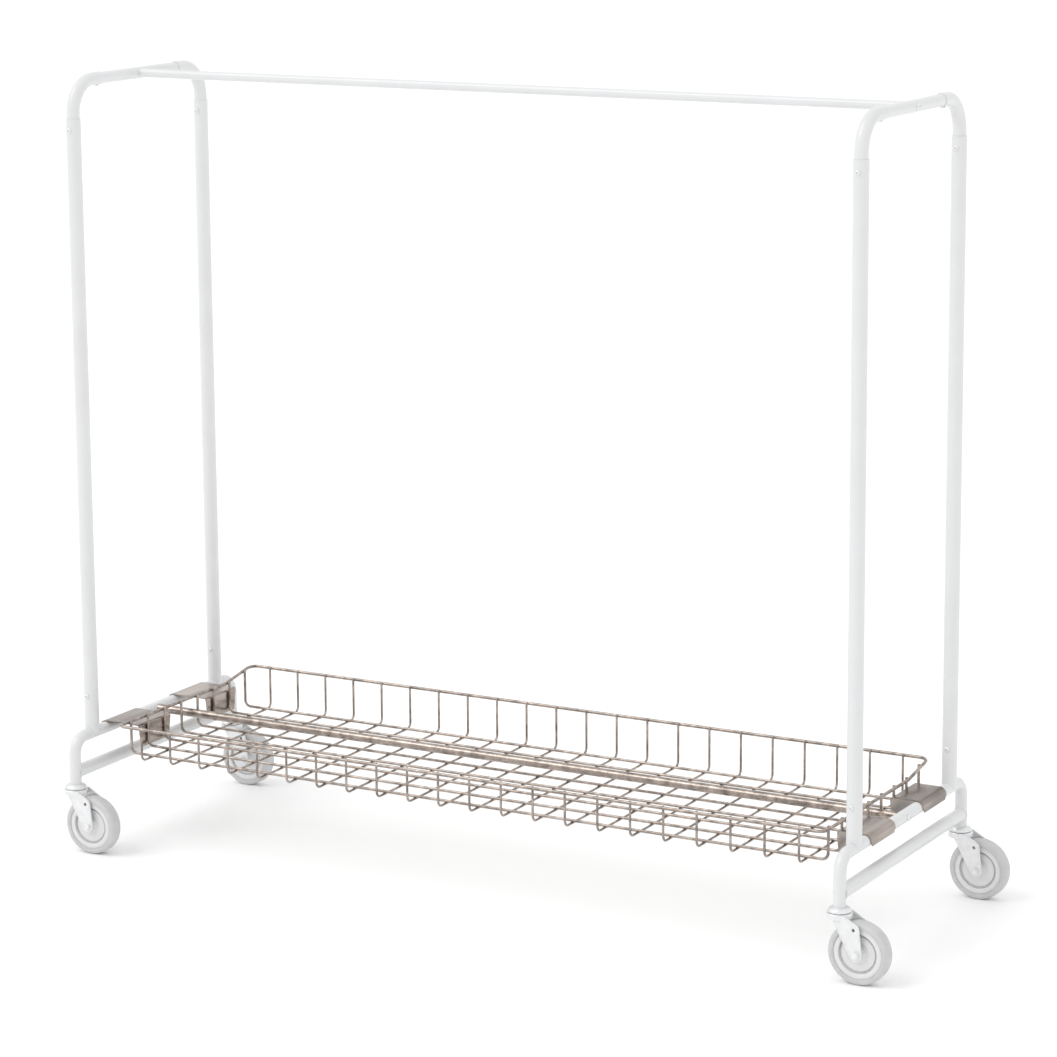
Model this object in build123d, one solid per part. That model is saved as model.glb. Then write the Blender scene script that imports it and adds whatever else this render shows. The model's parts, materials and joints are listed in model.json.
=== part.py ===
from build123d import *

import os
from math import radians, sin, tan

# A rolling garment and linen rack with a wire basket hung between its two end frames.
# X runs along the rack, Y from front to back and Z up. Left is -X, front is -Y.
# The two end frames are drawn about X = 0, and save() moves everything to the part's
# origin, the middle of its bounding box at the floor. All lengths are millimetres.

# End frames
RACK_LENGTH = 1829.0
BASE_WIDTH = 610.0
UPRIGHT_WIDTH = 478.0
TOP_Z = 1679.0
UPPER_BAR_Z = 250.0
LOWER_BAR_Z = 176.0
LEG_END_Z = 150.0
BASE_BEND = 34.0
CROSSBAR_SHORT = 3.0

# Tubes: outer diameter and wall
BASE_TUBE = (25.4, 1.5)
LOWER_TUBE = (28.6, 1.5)
UPRIGHT_TUBE = (31.75, 1.6)
ELBOW_TUBE = (28.45, 1.5)
TOP_TUBE = (25.4, 1.5)
BAR_TUBE = (19.05, 1.2)
SPIGOT_TUBE = (28.4, 2.0)

# Joints between the tubes
SPIGOT_TOP_Z = 362.0
BASE_SCREW_Z = 335.0
ELBOW_BEND = 70.0
ELBOW_SEAM_Y = 140.0
ELBOW_LAP = 60.0
UPRIGHT_TOP_Z = TOP_Z - 79.0
ELBOW_SCREW_Z = UPRIGHT_TOP_Z - 24.0
TOP_TUBE_HALF = 167.0
TOP_SCREW_Y = 153.0
PLUG_LENGTH = 20.0
PLUG_SET_BACK = 1.0
BOLT_SHORT = 4.0

# Fasteners
SCREW_SHANK = 5.0
SCREW_HEAD = (10.0, 3.6)
BOLT_SHANK = 6.0
BOLT_HEAD = (13.0, 4.0)
HOLE_CLEARANCE = 0.2
THREAD_CLEARANCE = 0.04
NUT_HEIGHT = 4.5
DOME = 0.6
TOP_SCREW_LENGTH = 9.0

# Basket
BASKET_LENGTH = 1686.0
BASKET_DEPTH = 522.0
BASKET_SHIFT = 16.0
RIM_WIRE = 7.0
RIB_WIRE = 5.0
LONG_WIRE = 6.0
RIB_FLOOR_Z = 207.0
FRONT_RIM_Z = 280.0
END_RIM_Z = 280.0
REAR_RIM_Z = 299.0
RIM_RISE_LENGTH = 105.0
FRONT_CORNER = 16.0
REAR_CORNER = 20.0
RISE_BEND = 30.0
RIB_COUNT = 22
RIB_PITCH = 75.0
FLOOR_BEND = 14.0
LONG_WIRE_COUNT = 8
LONG_WIRE_PITCH = 64.0
WELD_GAP = 0.02
WIRE_PROUD = 2.0

# Hook plates that hang the basket on the upper crossbars
HOOK_WIDTH = 120.0
HOOK_Y = 130.0
HOOK_SHEET = 2.0
HOOK_CLEARANCE = 0.4
HOOK_LEG_BOTTOM_Z = 214.0
HOOK_LIP_BOTTOM_Z = 240.0
HOOK_BEND = 5.0

# Casters
WHEEL_DIAMETER = 127.0
WHEEL_WIDTH = 32.0
CASTER_TRAIL = 44.5
TYRE_INNER = 101.6
TYRE_SHOULDER = 5.0
CORE_WIDTH = 28.0
GROOVE_OUTER = 80.0
GROOVE_INNER = 74.0
GROOVE_DEPTH = 5.0
HUB_FACE_WIDTH = 20.0
HUB_DIAMETER = 26.0
HUB_WIDTH = 36.0
BUSH_DIAMETER = 12.0
RUNNING_CLEARANCE = 0.06
AXLE_DIAMETER = 8.0
AXLE_HEX = 13.0
AXLE_HEAD_HEIGHT = 5.3
AXLE_NUT_HEIGHT = 6.5
AXLE_END = 2.5
FORK_SHEET = 3.0
FORK_INSIDE = 39.0
FORK_EYE = 13.0
FORK_TOP_Z = 140.0
FORK_SHOULDER = (-17.0, 19.0)
FORK_SWELL = (-5.0, 50.0)
FORK_SWELL_RADIUS = 12.5
FORK_HOLE = 7.0
CROWN_DIAMETER = 47.0
RACE_DIAMETER = 46.0
RACE_SHEET = 4.0
RACE_BOTTOM_Z = 143.0
BALL_DIAMETER = 5.0
BALL_RING = 34.0
BALL_COUNT = 14
BALL_CLEARANCE = 0.08
KING_PIN = 10.0
KING_PIN_HEAD = (17.0, 3.5)
KING_PIN_CLEARANCE = 0.1
STEM_DIAMETER = 14.0
STEM_LENGTH = 44.0
COLLAR_DIAMETER = 31.0
SOCKET_CLEARANCE = 0.05

END_X = RACK_LENGTH / 2
LEG_Y = BASE_WIDTH / 2
UPRIGHT_Y = UPRIGHT_WIDTH / 2
WHEEL_RADIUS = WHEEL_DIAMETER / 2
LONG_WIRE_Z = RIB_FLOOR_Z + (RIB_WIRE + LONG_WIRE) / 2 + WELD_GAP

# The casters all trail towards +X, so the bounding box reaches further on that side.
BOX_LEFT = -END_X - CROWN_DIAMETER / 2
BOX_RIGHT = END_X + CASTER_TRAIL + WHEEL_RADIUS
ORIGIN_X = (BOX_LEFT + BOX_RIGHT) / 2

FORE_AND_AFT = (("front", -1), ("rear", 1))
SIDES = (("left", -1), ("right", 1))


def save(name, *shapes):
    """Writes the solids of one sub-part, moved to the part's origin."""
    solids = [s.moved(Location((-ORIGIN_X, 0, 0))) for shape in shapes for s in shape.solids()]
    export_step(solids[0] if len(solids) == 1 else Compound(solids), f"parts/{name}.step")


def rounded_path(corners, radii):
    """A wire of straight runs, each inner corner rounded to its own radius."""
    points = [Vector(*corner) for corner in corners]
    edges, start = [], points[0]
    for before, corner, after, radius in zip(points, points[1:], points[2:], radii):
        back, ahead = (before - corner).normalized(), (after - corner).normalized()
        half_angle = radians(back.get_angle(ahead)) / 2
        setback = radius / tan(half_angle)
        to_arc = radius / sin(half_angle) - radius
        begin, end = corner + back * setback, corner + ahead * setback
        middle = corner + (back + ahead).normalized() * to_arc
        edges += [Line(start, begin), ThreePointArc(begin, middle, end)]
        start = end
    edges.append(Line(start, points[-1]))
    return Wire(edges)


def bent(path, outer, wall=0):
    """A round tube, or a solid wire where wall is 0, along a bent path."""
    section = Circle(outer / 2)
    if wall:
        section -= Circle(outer / 2 - wall)
    return sweep(Plane(origin=path @ 0, z_dir=path % 0) * section, path=path)


def straight(start, end, outer, wall=0):
    """A straight round tube, or a solid rod where wall is 0."""
    run = Vector(*end) - Vector(*start)
    section = Circle(outer / 2)
    if wall:
        section -= Circle(outer / 2 - wall)
    return extrude(Plane(origin=start, z_dir=run) * section, amount=run.length)


def fastener(seat, direction, shank, head, length):
    """A screw or bolt: a domed head on the seat point and a shank along the direction."""
    seat, direction = Vector(*seat), Vector(*direction).normalized()
    crown = extrude(Plane(origin=seat, z_dir=-direction) * Circle(head[0] / 2), amount=head[1])
    rings = crown.edges().filter_by(GeomType.CIRCLE)
    outer_edge = rings.sort_by(lambda edge: edge.arc_center.dot(direction))[0]
    return fillet(outer_edge, head[1] * DOME) + straight(seat, seat + direction * length, shank)


def hexagon(seat, direction, across_flats, height, bore=0):
    """A bolt head, or a nut where it has a bore, that stands on the seat point."""
    section = RegularPolygon(across_flats / 2, 6, major_radius=False)
    if bore:
        section -= Circle(bore / 2)
    return extrude(Plane(origin=seat, z_dir=direction) * section, amount=height)


def crossbar_rod(x, z, diameter):
    """A rod along Y at one end frame, for coping tube ends around a crossbar."""
    return straight((x, -LEG_Y, z), (x, LEG_Y, z), diameter)


def base_frame(x):
    """Inverted U: the two caster legs and the upper crossbar, bent from one tube."""
    top_corners = [(x, -LEG_Y, UPPER_BAR_Z), (x, LEG_Y, UPPER_BAR_Z)]
    corners = [(x, -LEG_Y, LEG_END_Z), *top_corners, (x, LEG_Y, LEG_END_Z)]
    return bent(rounded_path(corners, [BASE_BEND] * 2), *BASE_TUBE) - bolt_hole(x, UPPER_BAR_Z)


def bolt_hole(x, z):
    """Drill along X at the middle of a crossbar for a long bar's bolt."""
    reach = BASE_TUBE[0]
    return straight((x - reach, 0, z), (x + reach, 0, z), BOLT_SHANK + 2 * HOLE_CLEARANCE)


def lower_crossbar(x):
    """Straight tube, its ends coped around the two caster legs."""
    end = LEG_Y - CROSSBAR_SHORT
    bar = straight((x, -end, LOWER_BAR_Z), (x, end, LOWER_BAR_Z), *LOWER_TUBE)
    for _, way in FORE_AND_AFT:
        bar -= straight((x, way * LEG_Y, 0), (x, way * LEG_Y, TOP_Z), BASE_TUBE[0])
    return max(bar.solids(), key=lambda solid: solid.volume)


def cross_hole(x, y, z):
    """Drill along Y for a through screw in an upright."""
    reach = UPRIGHT_TUBE[0]
    return straight((x, y - reach, z), (x, y + reach, z), SCREW_SHANK + 2 * HOLE_CLEARANCE)


def upright(x, y):
    """Post coped over the upper crossbar, drilled at its foot and its top."""
    post = straight((x, y, UPPER_BAR_Z), (x, y, UPRIGHT_TOP_Z), *UPRIGHT_TUBE)
    post -= crossbar_rod(x, UPPER_BAR_Z, BASE_TUBE[0])
    post -= cross_hole(x, y, BASE_SCREW_Z) + cross_hole(x, y, ELBOW_SCREW_Z)
    return max(post.solids(), key=lambda solid: solid.volume)


def spigot(x, y):
    """Short tube welded on the upper crossbar, inside the upright's foot."""
    stub = straight((x, y, UPPER_BAR_Z), (x, y, SPIGOT_TOP_Z), *SPIGOT_TUBE)
    stub -= crossbar_rod(x, UPPER_BAR_Z, BASE_TUBE[0]) + cross_hole(x, y, BASE_SCREW_Z)
    return max(stub.solids(), key=lambda solid: solid.volume)


def elbow(x, way):
    """Quarter bend from the top of an upright to the top crossbar."""
    y = way * UPRIGHT_Y
    corners = [(x, y, UPRIGHT_TOP_Z - ELBOW_LAP), (x, y, TOP_Z), (x, way * ELBOW_SEAM_Y, TOP_Z)]
    bend = bent(rounded_path(corners, [ELBOW_BEND]), *ELBOW_TUBE)
    return bend - cross_hole(x, y, ELBOW_SCREW_Z) - top_screw_hole(x, way)


def top_screw_hole(x, way):
    """Vertical drill through the lower wall of an elbow and of the top crossbar."""
    y = way * TOP_SCREW_Y
    return straight((x, y, TOP_Z - ELBOW_TUBE[0]), (x, y, TOP_Z), SCREW_SHANK + 2 * HOLE_CLEARANCE)


def top_crossbar(x):
    """Straight tube between the two elbows, drilled for its screws and the bar's bolt."""
    bar = straight((x, -TOP_TUBE_HALF, TOP_Z), (x, TOP_TUBE_HALF, TOP_Z), *TOP_TUBE)
    bar -= bolt_hole(x, TOP_Z)
    for _, way in FORE_AND_AFT:
        bar -= top_screw_hole(x, way)
    return bar


def long_bar(z, crossbar_diameter):
    """Tube along X between the end frames, its ends coped to the crossbars."""
    bar = straight((-END_X, 0, z), (END_X, 0, z), *BAR_TUBE)
    for x in (-END_X, END_X):
        bar -= crossbar_rod(x, z, crossbar_diameter)
    return max(bar.solids(), key=lambda solid: solid.volume)


def bar_end_plug(x, z, crossbar_diameter):
    """Threaded plug inside one end of a long bar."""
    inward = -1 if x > 0 else 1
    near = x + inward * (crossbar_diameter / 2 + PLUG_SET_BACK)
    far = near + inward * PLUG_LENGTH
    plug = straight((near, 0, z), (far, 0, z), BAR_TUBE[0] - 2 * BAR_TUBE[1] - 2 * THREAD_CLEARANCE)
    return plug - straight((near, 0, z), (far, 0, z), BOLT_SHANK + 2 * THREAD_CLEARANCE)


def bar_bolt(x, z, crossbar_diameter):
    """Bolt through a crossbar into the plug of a long bar."""
    inward = -1 if x > 0 else 1
    seat_x = x - inward * crossbar_diameter / 2
    length = crossbar_diameter + PLUG_SET_BACK + PLUG_LENGTH - BOLT_SHORT
    return fastener((seat_x, 0, z), (inward, 0, 0), BOLT_SHANK, BOLT_HEAD, length)


def through_screw(x, y, z):
    """Screw along Y through an upright, with a nut at the back."""
    half = UPRIGHT_TUBE[0] / 2
    screw = fastener((x, y - half, z), (0, 1, 0), SCREW_SHANK, SCREW_HEAD, 2 * half + NUT_HEIGHT + 1)
    bore = SCREW_SHANK + 2 * THREAD_CLEARANCE
    return [screw, hexagon((x, y + half, z), (0, 1, 0), SCREW_HEAD[0], NUT_HEIGHT, bore)]


def top_screw(x, way):
    """Short screw up through an elbow into the top crossbar."""
    seat = (x, way * TOP_SCREW_Y, TOP_Z - ELBOW_TUBE[0] / 2)
    return fastener(seat, (0, 0, 1), SCREW_SHANK, SCREW_HEAD, TOP_SCREW_LENGTH)


def basket_rim():
    """Closed rim wire: low at the front, rising near the back corners to the rear rim."""
    x, y = BASKET_LENGTH / 2, BASKET_DEPTH / 2
    foot = y - RIM_RISE_LENGTH
    right = [(x, -y, FRONT_RIM_Z), (x, foot, END_RIM_Z), (x, y, REAR_RIM_Z)]
    left = [(-px, py, pz) for px, py, pz in reversed(right)]
    corners = [(0, -y, FRONT_RIM_Z)] + right + left + [(0, -y, FRONT_RIM_Z)]
    right_bends = [FRONT_CORNER, RISE_BEND, REAR_CORNER]
    return bent(rounded_path(corners, right_bends + right_bends[::-1]), RIM_WIRE)


def wall_inset(wire):
    """How far a wall wire's centre lies inside the centre of the rim wire."""
    return (RIM_WIRE + wire) / 2 + WELD_GAP


def basket_ribs():
    """U-shaped wires across the floor and up the front and rear walls."""
    y = BASKET_DEPTH / 2 - wall_inset(RIB_WIRE)
    for index in range(RIB_COUNT):
        x = (index - (RIB_COUNT - 1) / 2) * RIB_PITCH
        front_top, rear_top = FRONT_RIM_Z + WIRE_PROUD, REAR_RIM_Z + WIRE_PROUD
        corners = [(x, -y, front_top), (x, -y, RIB_FLOOR_Z), (x, y, RIB_FLOOR_Z), (x, y, rear_top)]
        yield bent(rounded_path(corners, [FLOOR_BEND] * 2), RIB_WIRE)


def rim_z(y):
    """Height of the end rim's centre at one Y."""
    half = BASKET_DEPTH / 2
    foot = half - RIM_RISE_LENGTH
    if y > foot:
        return END_RIM_Z + (REAR_RIM_Z - END_RIM_Z) * (y - foot) / RIM_RISE_LENGTH
    return FRONT_RIM_Z + (END_RIM_Z - FRONT_RIM_Z) * (y + half) / (half + foot)


def long_wires():
    """Floor wires along X on top of the ribs, turned up at both end walls."""
    x = BASKET_LENGTH / 2 - wall_inset(LONG_WIRE)
    z = LONG_WIRE_Z
    for index in range(LONG_WIRE_COUNT):
        y = (index - (LONG_WIRE_COUNT - 1) / 2) * LONG_WIRE_PITCH
        top = rim_z(y) + WIRE_PROUD
        corners = [(-x, y, top), (-x, y, z), (x, y, z), (x, y, top)]
        yield bent(rounded_path(corners, [FLOOR_BEND] * 2), LONG_WIRE)


def basket_hook(side, way):
    """Bent sheet: a leg on the end wall's wires, a shelf, and a lip over the crossbar."""
    half = HOOK_SHEET / 2
    roll = BASE_TUBE[0] / 2 + HOOK_CLEARANCE + half
    leg_x = BASKET_LENGTH / 2 - RIM_WIRE / 2 + half + side * BASKET_SHIFT
    lip_x, shelf_z = END_X + roll, UPPER_BAR_Z + roll
    leg = [(leg_x, 0, HOOK_LEG_BOTTOM_Z), (leg_x, 0, shelf_z)]
    lip = [(lip_x, 0, shelf_z), (lip_x, 0, HOOK_LIP_BOTTOM_Z)]
    path = rounded_path(leg + lip, [HOOK_BEND, roll])
    strip = Plane(origin=path @ 0, z_dir=path % 0, x_dir=(1, 0, 0)) * Rectangle(HOOK_SHEET, HOOK_WIDTH)
    hook = sweep(strip, path=path).moved(Location((0, way * HOOK_Y, 0)))
    return hook if side > 0 else mirror(hook, about=Plane.YZ)


def caster_stem(x, y):
    """Stem, collar, upper ball race and king pin with its riveted head, turned as one piece."""
    stem = straight((x, y, LEG_END_Z), (x, y, LEG_END_Z + STEM_LENGTH), STEM_DIAMETER)
    stem = chamfer(stem.edges().sort_by(Axis.Z)[-1], 2)
    race_top = RACE_BOTTOM_Z + RACE_SHEET
    collar = straight((x, y, race_top), (x, y, LEG_END_Z), COLLAR_DIAMETER)
    race = straight((x, y, RACE_BOTTOM_Z), (x, y, race_top), RACE_DIAMETER)
    race = fillet(race.edges().sort_by(Axis.Z)[-1], 1.5)
    pin_bottom = FORK_TOP_Z - FORK_SHEET - KING_PIN_CLEARANCE
    pin = straight((x, y, pin_bottom - KING_PIN_HEAD[1]), (x, y, race_top), KING_PIN)
    head = straight((x, y, pin_bottom - KING_PIN_HEAD[1]), (x, y, pin_bottom), KING_PIN_HEAD[0])
    head = fillet(head.edges().sort_by(Axis.Z)[0], 2)
    return stem + collar + race + pin + head - ball_groove(x, y)


def ball_groove(x, y):
    """Ring-shaped space that the balls run in."""
    middle_z = (RACE_BOTTOM_Z + FORK_TOP_Z) / 2
    return Location((x, y, middle_z)) * Torus(BALL_RING / 2, BALL_DIAMETER / 2 + BALL_CLEARANCE)


def caster_balls(x, y):
    """The ring of bearing balls under one stem."""
    middle_z = (RACE_BOTTOM_Z + FORK_TOP_Z) / 2
    ring = PolarLocations(BALL_RING / 2, BALL_COUNT)
    return [Location((x, y, middle_z)) * place * Sphere(BALL_DIAMETER / 2) for place in ring]


def stem_socket(x, y):
    """Plastic bush between a caster stem and the inside of its leg."""
    outer = BASE_TUBE[0] - 2 * BASE_TUBE[1] - 2 * SOCKET_CLEARANCE
    inner = STEM_DIAMETER + 2 * SOCKET_CLEARANCE
    return straight((x, y, LEG_END_Z), (x, y, LEG_END_Z + STEM_LENGTH - 6), outer, (outer - inner) / 2)


def fork_leg(x, y, way):
    """One side of the fork, from the crown past a drilled swell to the axle eye."""
    top, axle_x = FORK_TOP_Z - FORK_SHEET / 2, x + CASTER_TRAIL
    shoulder = Line((x + FORK_SHOULDER[0], top), (x + FORK_SHOULDER[1], top))
    eye = Location((axle_x, WHEEL_RADIUS)) * Circle(FORK_EYE)
    drill = Location((axle_x + FORK_SWELL[0], WHEEL_RADIUS + FORK_SWELL[1]))
    swell = drill * Circle(FORK_SWELL_RADIUS)
    outline = make_hull([shoulder, *eye.edges(), *swell.edges()]) - drill * Circle(FORK_HOLE / 2)
    inner_y = y + way * FORK_INSIDE / 2
    face = Plane(origin=(0, inner_y, 0), x_dir=(1, 0, 0), z_dir=(0, -1, 0)) * outline
    return extrude(face, amount=-way * FORK_SHEET)


def caster_fork(x, y):
    """Pressed fork: a crown with the lower ball race and two legs to the axle."""
    crown = straight((x, y, FORK_TOP_Z - FORK_SHEET), (x, y, FORK_TOP_Z), CROWN_DIAMETER)
    fork = crown + fork_leg(x, y, -1) + fork_leg(x, y, 1)
    fork -= straight((x, y, 0), (x, y, LEG_END_Z), KING_PIN + 2 * KING_PIN_CLEARANCE)
    axle_x, reach = x + CASTER_TRAIL, FORK_INSIDE
    axle_hole = AXLE_DIAMETER + 2 * THREAD_CLEARANCE
    fork -= straight((axle_x, y - reach, WHEEL_RADIUS), (axle_x, y + reach, WHEEL_RADIUS), axle_hole)
    return fork - ball_groove(x, y)


def caster_axle(x, y):
    """Hexagon bolt through the fork, its head on the outer side, and its nut."""
    outward = 1 if y > 0 else -1
    axle_x, half = x + CASTER_TRAIL, outward * (FORK_INSIDE / 2 + FORK_SHEET)
    head_seat, nut_seat = (axle_x, y + half, WHEEL_RADIUS), (axle_x, y - half, WHEEL_RADIUS)
    end_y = y - half - outward * (AXLE_NUT_HEIGHT + AXLE_END)
    shank = straight(head_seat, (axle_x, end_y, WHEEL_RADIUS), AXLE_DIAMETER)
    bolt = shank + hexagon(head_seat, (0, outward, 0), AXLE_HEX, AXLE_HEAD_HEIGHT)
    bore = AXLE_DIAMETER + 2 * THREAD_CLEARANCE
    return [bolt, hexagon(nut_seat, (0, -outward, 0), AXLE_HEX, AXLE_NUT_HEIGHT, bore)]


def axle_bush(x, y):
    """Spacer tube that the fork clamps and the wheel turns on."""
    axle_x, half = x + CASTER_TRAIL, FORK_INSIDE / 2
    wall = (BUSH_DIAMETER - AXLE_DIAMETER) / 2 - THREAD_CLEARANCE
    return straight((axle_x, y - half, WHEEL_RADIUS), (axle_x, y + half, WHEEL_RADIUS), BUSH_DIAMETER, wall)


def turned(x, y, half_profile):
    """A wheel part: a profile of (radius, half width) points, mirrored and turned about its axle."""
    outline = half_profile + [(radius, -half) for radius, half in reversed(half_profile)]
    plane = Plane(origin=(x + CASTER_TRAIL, y, WHEEL_RADIUS), x_dir=(1, 0, 0), z_dir=(0, 0, 1))
    face = plane * make_face(Polyline(*outline, close=True))
    return revolve(face, axis=Axis((x + CASTER_TRAIL, y, WHEEL_RADIUS), (0, 1, 0)))


def wheel_core(x, y):
    """Hub, recessed web, groove and flat band that the tyre sits on."""
    bore = BUSH_DIAMETER / 2 + RUNNING_CLEARANCE
    band, web = CORE_WIDTH / 2, HUB_FACE_WIDTH / 2
    groove = band - GROOVE_DEPTH - 2
    return turned(x, y, [
        (bore, HUB_WIDTH / 2),
        (HUB_DIAMETER / 2, HUB_WIDTH / 2),
        (HUB_DIAMETER / 2 + 2, web),
        (GROOVE_INNER / 2 - 1.5, web),
        (GROOVE_INNER / 2, groove),
        (GROOVE_OUTER / 2, groove),
        (GROOVE_OUTER / 2 + 1, band),
        (TYRE_INNER / 2, band),
    ])


def wheel_tyre(x, y):
    """Rubber tread with rounded shoulders."""
    seat = TYRE_INNER / 2 + THREAD_CLEARANCE
    tyre = turned(x, y, [(seat, WHEEL_WIDTH / 2), (WHEEL_RADIUS, WHEEL_WIDTH / 2)])
    rings = tyre.edges().filter_by(GeomType.CIRCLE).sort_by(lambda edge: edge.radius)
    return fillet(rings[-2:], TYRE_SHOULDER)


def save_end_frame(name, side):
    """Everything that belongs to one end of the rack, apart from the fasteners."""
    x = side * END_X
    save(f"base_frame_{name}", base_frame(x))
    save(f"lower_crossbar_{name}", lower_crossbar(x))
    save(f"top_crossbar_{name}", top_crossbar(x))
    for place, way in FORE_AND_AFT:
        save(f"upright_{name}_{place}", upright(x, way * UPRIGHT_Y))
        save(f"elbow_{name}_{place}", elbow(x, way))
        save(f"basket_hook_{name}_{place}", basket_hook(side, way))


def save_caster(name, x, y):
    """The pieces of one swivel caster."""
    save(f"caster_stem_{name}", caster_stem(x, y))
    save(f"caster_fork_{name}", caster_fork(x, y))
    save(f"caster_axle_{name}", *caster_axle(x, y))
    save(f"caster_bush_{name}", axle_bush(x, y))
    save(f"wheel_core_{name}", wheel_core(x, y))
    save(f"wheel_tyre_{name}", wheel_tyre(x, y))


def save_fasteners():
    """Groups of identical screws, bolts, plugs, sockets and balls."""
    corners = [(side * END_X, way) for _, side in SIDES for _, way in FORE_AND_AFT]
    posts = [(x, way * UPRIGHT_Y) for x, way in corners]
    legs = [(x, way * LEG_Y) for x, way in corners]
    levels = ((TOP_Z, TOP_TUBE[0]), (UPPER_BAR_Z, BASE_TUBE[0]))
    bars = [(side * END_X, *level) for _, side in SIDES for level in levels]
    save("upright_spigots", *[spigot(x, y) for x, y in posts])
    save("upright_base_screws", *[piece for x, y in posts for piece in through_screw(x, y, BASE_SCREW_Z)])
    save("elbow_screws", *[piece for x, y in posts for piece in through_screw(x, y, ELBOW_SCREW_Z)])
    save("top_crossbar_screws", *[top_screw(*corner) for corner in corners])
    save("bar_end_plugs", *[bar_end_plug(*bar) for bar in bars])
    save("bar_bolts", *[bar_bolt(*bar) for bar in bars])
    save("stem_sockets", *[stem_socket(x, y) for x, y in legs])
    save("caster_balls", *[ball for x, y in legs for ball in caster_balls(x, y)])


def save_basket():
    """The welded wire basket, hung a little to the right of the rack's middle."""
    place = Location((BASKET_SHIFT, 0, 0))
    wires = {
        "basket_rim": [basket_rim()],
        "basket_ribs": basket_ribs(),
        "basket_long_wires": long_wires(),
    }
    for name, group in wires.items():
        save(name, *[place * wire for wire in group])


os.makedirs("parts", exist_ok=True)
for end_name, end_side in SIDES:
    save_end_frame(end_name, end_side)
    for depth_name, depth_way in FORE_AND_AFT:
        save_caster(f"{end_name}_{depth_name}", end_side * END_X, depth_way * LEG_Y)
save("hanging_bar", long_bar(TOP_Z, TOP_TUBE[0]))
save("bottom_bar", long_bar(UPPER_BAR_Z, BASE_TUBE[0]))
save_fasteners()
save_basket()
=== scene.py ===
"""Looks of the rolling garment rack: basket, hook plates, casters, screws, welds, materials, studio."""
import json
import math
import random

import bmesh
import bpy
from mathutils import Matrix, Vector


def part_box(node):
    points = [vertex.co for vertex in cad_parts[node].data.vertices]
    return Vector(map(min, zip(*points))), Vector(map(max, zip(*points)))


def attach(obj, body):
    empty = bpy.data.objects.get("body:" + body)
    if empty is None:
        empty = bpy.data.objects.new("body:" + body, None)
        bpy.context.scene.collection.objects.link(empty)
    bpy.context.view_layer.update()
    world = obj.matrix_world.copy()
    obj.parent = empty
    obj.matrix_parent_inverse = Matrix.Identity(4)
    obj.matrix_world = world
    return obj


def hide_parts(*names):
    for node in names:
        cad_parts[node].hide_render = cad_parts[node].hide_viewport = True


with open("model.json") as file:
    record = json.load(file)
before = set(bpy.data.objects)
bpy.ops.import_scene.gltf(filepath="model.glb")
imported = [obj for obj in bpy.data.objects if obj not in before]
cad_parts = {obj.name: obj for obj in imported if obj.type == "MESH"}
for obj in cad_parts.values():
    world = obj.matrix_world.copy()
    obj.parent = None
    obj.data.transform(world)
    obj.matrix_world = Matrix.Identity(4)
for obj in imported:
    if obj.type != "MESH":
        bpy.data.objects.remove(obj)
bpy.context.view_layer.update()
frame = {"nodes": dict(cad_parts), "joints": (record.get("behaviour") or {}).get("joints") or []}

# ---------------------------------------------------------------- places, in metres, from the frame
JOINTS = {joint["name"]: Vector(joint["pos_m"]) for joint in frame["joints"] if "pos_m" in joint}
CASTERS = [name[len("swivel_"):] for name in JOINTS if name.startswith("swivel_")]
LEG = {name: JOINTS["swivel_" + name] for name in CASTERS}
AXLE = {name: JOINTS["spin_" + name] for name in CASTERS}
LEFT_X, RIGHT_X = LEG["left_front"].x, LEG["right_front"].x
MIDDLE_X = (LEFT_X + RIGHT_X) / 2
LOWER_LOW, LOWER_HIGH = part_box("lower_crossbar_right")
BASE_LOW, BASE_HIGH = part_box("base_frame_right")

MM = 0.001


# ---------------------------------------------------------------- mesh tools
def piece(name, bm, material, body, stands_for=(), sharp=34):
    """Turns a bmesh into a piece that rides on a body and takes a material slot."""
    mesh = bpy.data.meshes.new(name)
    bmesh.ops.recalc_face_normals(bm, faces=bm.faces)
    bm.to_mesh(mesh)
    bm.free()
    mesh.materials.append(material)
    mesh.polygons.foreach_set("use_smooth", [True] * len(mesh.polygons))
    mesh.set_sharp_from_angle(angle=math.radians(sharp))
    obj = bpy.data.objects.new(name, mesh)
    bpy.context.scene.collection.objects.link(obj)
    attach(obj, body)
    if stands_for:
        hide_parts(*stands_for)
    return obj


def rounded(corners, radii, steps=8):
    """Points of a route of straight runs, with an arc at each inner corner."""
    points = [Vector(corners[0])]
    for before, corner, after, radius in zip(corners, corners[1:], corners[2:], radii):
        before, corner, after = Vector(before), Vector(corner), Vector(after)
        back, ahead = (before - corner).normalized(), (after - corner).normalized()
        half = back.angle(ahead) / 2
        centre = corner + (back + ahead).normalized() * (radius / math.sin(half))
        start = corner + back * radius / math.tan(half) - centre
        end = corner + ahead * radius / math.tan(half) - centre
        for step in range(steps + 1):
            points.append(centre + start.normalized().slerp(end.normalized(), step / steps) * radius)
    points.append(Vector(corners[-1]))
    return points


def ring_frames(points, closed=False):
    """A tangent and two side directions at each point, carried along without twist."""
    count = len(points)
    tangents = []
    for i in range(count):
        after = points[(i + 1) % count] if closed or i + 1 < count else points[i]
        before = points[i - 1] if closed or i else points[i]
        tangents.append((after - before).normalized())
    side = tangents[0].orthogonal().normalized()
    frames = []
    for tangent in tangents:
        side = (side - tangent * side.dot(tangent)).normalized()
        frames.append((tangent, side, tangent.cross(side)))
    return frames


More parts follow.
